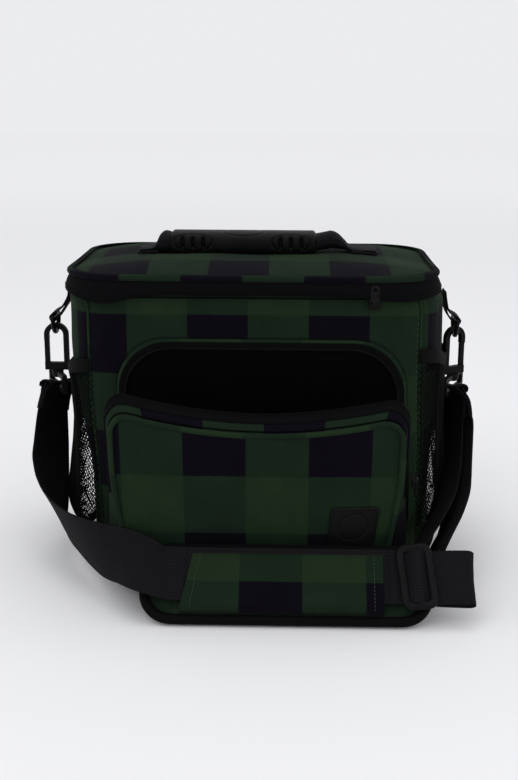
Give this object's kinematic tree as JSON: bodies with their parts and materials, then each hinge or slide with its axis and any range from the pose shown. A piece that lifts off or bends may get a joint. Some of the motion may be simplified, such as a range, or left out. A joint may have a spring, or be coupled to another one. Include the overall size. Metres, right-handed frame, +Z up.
{
  "type": "insulated cooler bag",
  "caption": "Soft insulated cooler bag with a zipped hinged lid, an open front pocket, mesh side pockets, a grip handle and a clip-on padded shoulder strap.",
  "frame": {"origin": "middle of the base's underside", "axes": "+Z up, -Y towards the front pocket, +X to the right seen from the front"},
  "size_m": [0.4085, 0.3097, 0.2946],
  "materials": {
    "plaid_fabric": "woven polyester, three-tone buffalo check",
    "black_fabric": "plain black polyester",
    "black_webbing": "ribbed nylon webbing",
    "black_binding": "folded binding tape",
    "zip_tape": "twill zip tape",
    "zip_coil": "moulded nylon coil",
    "liner": "heat-welded PEVA sheet",
    "insulation": "closed-cell foam",
    "pad_foam": "foam pad faced with checked fabric",
    "mesh": "open diamond mesh",
    "elastic": "woven elastic",
    "grip_rubber": "satin moulded rubber",
    "hook_plastic": "moulded acetal",
    "ring_metal": "black coated wire",
    "zip_metal": "black coated zinc",
    "patch_leather": "black debossed leather"
  },
  "bodies": {
    "bag": {"front_panel": "plaid_fabric", "back_panel": "plaid_fabric", "left_side_panel": "plaid_fabric", "right_side_panel": "plaid_fabric", "base_panel": "black_fabric", "base_foam": "insulation", "wall_foam": "insulation", "inner_liner": "liner", "rim_binding": "black_binding", "body_zip_tape": "zip_tape", "body_zip_coil": "zip_coil", "lid_hinge_strip": "black_fabric", "pocket_back_lining": "black_fabric", "pocket_back_edging": "black_binding", "pocket_back_coil": "zip_coil", "left_mesh_pocket": "mesh", "right_mesh_pocket": "mesh", "left_pocket_elastic": "elastic", "right_pocket_elastic": "elastic", "left_ring_tab": "black_webbing", "right_ring_tab": "black_webbing"},
    "lid": {"lid_zip_coil": "zip_coil", "lid_zip_tape": "zip_tape", "lid_band": "black_fabric", "lid_back_gusset": "plaid_fabric", "lid_liner": "liner", "lid_foam": "insulation", "lid_top_panel": "plaid_fabric", "lid_piping": "plaid_fabric", "handle_anchors": "black_webbing"},
    "handle": {"handle_webbing": "black_webbing", "handle_grip": "grip_rubber"},
    "front_pocket": {"pocket_zip_band": "black_fabric", "pocket_gusset": "plaid_fabric", "pocket_front_coil": "zip_coil", "pocket_front_panel": "plaid_fabric", "pocket_front_lining": "black_fabric", "pocket_piping": "plaid_fabric", "leather_patch": "patch_leather"},
    "lid_slider": {"lid_zip_slider": "zip_metal"},
    "lid_pull": {"lid_zip_pull": "zip_metal"},
    "pocket_slider": {"pocket_zip_slider": "zip_metal"},
    "pocket_pull": {"pocket_zip_pull": "zip_metal"},
    "left_ring": {"left_d_ring": "ring_metal"},
    "right_ring": {"right_d_ring": "ring_metal"},
    "strap": {"left_strap_eye": "hook_plastic", "right_strap_eye": "hook_plastic", "strap_left_run": "black_webbing", "strap_front_run": "black_webbing", "strap_right_outer": "black_webbing", "strap_right_inner": "black_webbing"},
    "left_snap_hook": {"left_hook": "hook_plastic"},
    "left_gate": {"left_hook_gate": "hook_plastic"},
    "right_snap_hook": {"right_hook": "hook_plastic"},
    "right_gate": {"right_hook_gate": "hook_plastic"},
    "strap_adjuster": {"strap_slider": "hook_plastic", "strap_end_loop": "black_webbing"},
    "pad": {"shoulder_pad": "pad_foam", "pad_binding": "black_binding", "pad_sleeve": "plaid_fabric"}
  },
  "joints": [
    {"name": "lid_hinge", "type": "hinge", "parent": "bag", "child": "lid", "pos_m": [0, 0.1005, 0.25], "axis": [-1, 0, 0], "range_deg": [0, 105]},
    {"name": "handle_lift", "type": "slide", "parent": "lid", "child": "handle", "axis": [0, 0, 1], "range_m": [0, 0.012]},
    {"name": "pocket_fold", "type": "hinge", "parent": "bag", "child": "front_pocket", "pos_m": [0, 0.02, 0.019], "axis": [1, 0, 0], "range_deg": [-14, 0]},
    {"name": "lid_zip_slide", "type": "slide", "parent": "bag", "child": "lid_slider", "axis": [-1, 0, 0], "range_m": [0, 0.205]},
    {"name": "lid_pull_swing", "type": "hinge", "parent": "lid_slider", "child": "lid_pull", "pos_m": [0.102, -0.10405, 0.243], "axis": [1, 0, 0], "range_deg": [0, 165]},
    {"name": "pocket_zip_slide", "type": "slide", "parent": "front_pocket", "child": "pocket_slider", "axis": [0, -0.2419, 0.9703], "range_m": [0, 0.03]},
    {"name": "pocket_pull_swing", "type": "hinge", "parent": "pocket_slider", "child": "pocket_pull", "pos_m": [0.1378, -0.13614, 0.10374], "axis": [0, 0.9703, 0.2419], "range_deg": [-150, 0]},
    {"name": "left_ring_swing", "type": "hinge", "parent": "bag", "child": "left_ring", "pos_m": [-0.183, 0, 0.212], "axis": [0, 1, 0], "range_deg": [-3, 3]},
    {"name": "right_ring_swing", "type": "hinge", "parent": "bag", "child": "right_ring", "pos_m": [0.183, 0, 0.212], "axis": [0, 1, 0], "range_deg": [-3, 3]},
    {"name": "strap_swing", "type": "hinge", "parent": "bag", "child": "strap", "pos_m": [0, 0, 0.212], "axis": [-1, 0, 0], "range_deg": [0, 28]},
    {"name": "left_hook_swivel", "type": "hinge", "parent": "strap", "child": "left_snap_hook", "pos_m": [-0.183, 0, 0.16], "axis": [0, 0, 1], "range_deg": [-25, 25]},
    {"name": "right_hook_swivel", "type": "hinge", "parent": "strap", "child": "right_snap_hook", "pos_m": [0.183, 0, 0.16], "axis": [0, 0, 1], "range_deg": [-55, 0]},
    {"name": "left_gate_hinge", "type": "hinge", "parent": "left_snap_hook", "child": "left_gate", "pos_m": [-0.1919, 0, 0.1667], "axis": [0, 1, 0], "range_deg": [0, 20], "stiffness_Nm_per_rad": 0.01},
    {"name": "right_gate_hinge", "type": "hinge", "parent": "right_snap_hook", "child": "right_gate", "pos_m": [0.19055, 0.00472, 0.1667], "axis": [0.5299, -0.848, 0], "range_deg": [0, 20], "stiffness_Nm_per_rad": 0.01},
    {"name": "strap_adjust", "type": "slide", "parent": "strap", "child": "strap_adjuster", "axis": [1, 0, 0], "range_m": [-0.002, 0.014]},
    {"name": "pad_slide", "type": "slide", "parent": "strap", "child": "pad", "axis": [1, 0, 0], "range_m": [-0.01, 0.01]}
  ]
}
